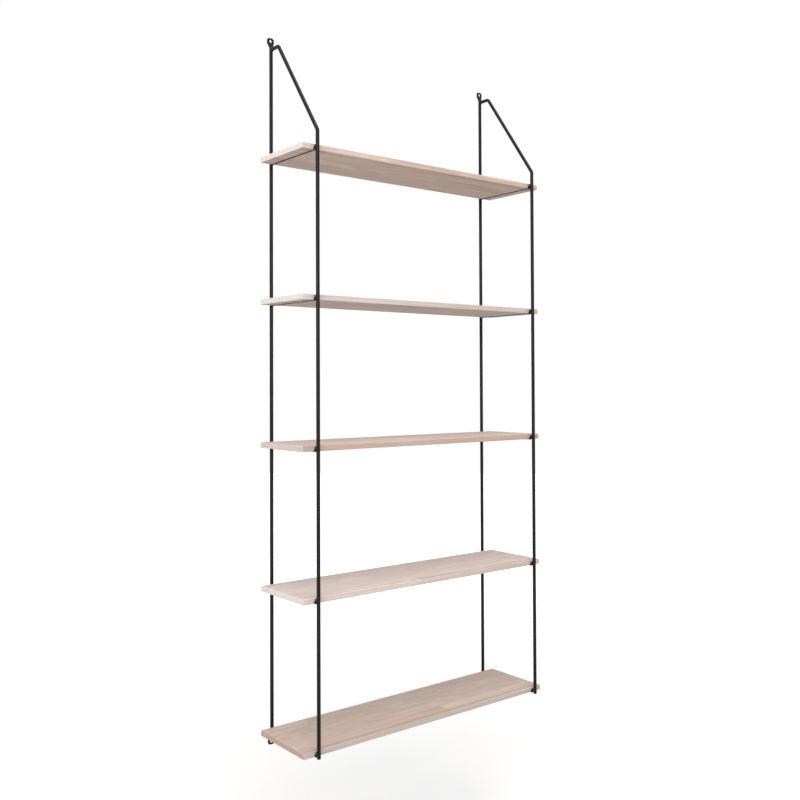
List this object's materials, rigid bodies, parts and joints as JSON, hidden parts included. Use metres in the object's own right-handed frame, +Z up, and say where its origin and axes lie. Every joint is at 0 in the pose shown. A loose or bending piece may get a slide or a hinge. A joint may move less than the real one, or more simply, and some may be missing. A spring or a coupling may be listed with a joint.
{
  "type": "wall shelving unit",
  "caption": "Wall-hung shelving unit: thin pale wooden boards lie on wires between two bent black steel rod frames whose flattened eyes are screwed to the wall.",
  "frame": {"origin": "on the wall plane, in the middle of the four wall holes", "axes": "+Z up, +Y into the wall, +X to the right seen from the front"},
  "size_m": [0.7, 0.187, 1.544],
  "materials": {
    "board_wood": "matte",
    "black_steel": "matte"
  },
  "bodies": {
    "side_frames": {"rear_upright_left": "black_steel", "rear_upright_right": "black_steel", "front_upright_left": "black_steel", "front_upright_right": "black_steel", "support_wire_left_1": "black_steel", "support_wire_left_2": "black_steel", "support_wire_left_3": "black_steel", "support_wire_left_4": "black_steel", "support_wire_left_5": "black_steel", "support_wire_right_1": "black_steel", "support_wire_right_2": "black_steel", "support_wire_right_3": "black_steel", "support_wire_right_4": "black_steel", "support_wire_right_5": "black_steel"},
    "board_1": {"shelf_board_1": "board_wood"},
    "board_2": {"shelf_board_2": "board_wood"},
    "board_3": {"shelf_board_3": "board_wood"},
    "board_4": {"shelf_board_4": "board_wood"},
    "board_5": {"shelf_board_5": "board_wood"}
  },
  "joints": [
    {"name": "board_1_lift", "type": "slide", "parent": "side_frames", "child": "board_1", "axis": [0, 0, 1], "range_m": [0, 0.015]},
    {"name": "board_2_lift", "type": "slide", "parent": "side_frames", "child": "board_2", "axis": [0, 0, 1], "range_m": [0, 0.015]},
    {"name": "board_3_lift", "type": "slide", "parent": "side_frames", "child": "board_3", "axis": [0, 0, 1], "range_m": [0, 0.015]},
    {"name": "board_4_lift", "type": "slide", "parent": "side_frames", "child": "board_4", "axis": [0, 0, 1], "range_m": [0, 0.015]},
    {"name": "board_5_lift", "type": "slide", "parent": "side_frames", "child": "board_5", "axis": [0, 0, 1], "range_m": [0, 0.015]}
  ]
}
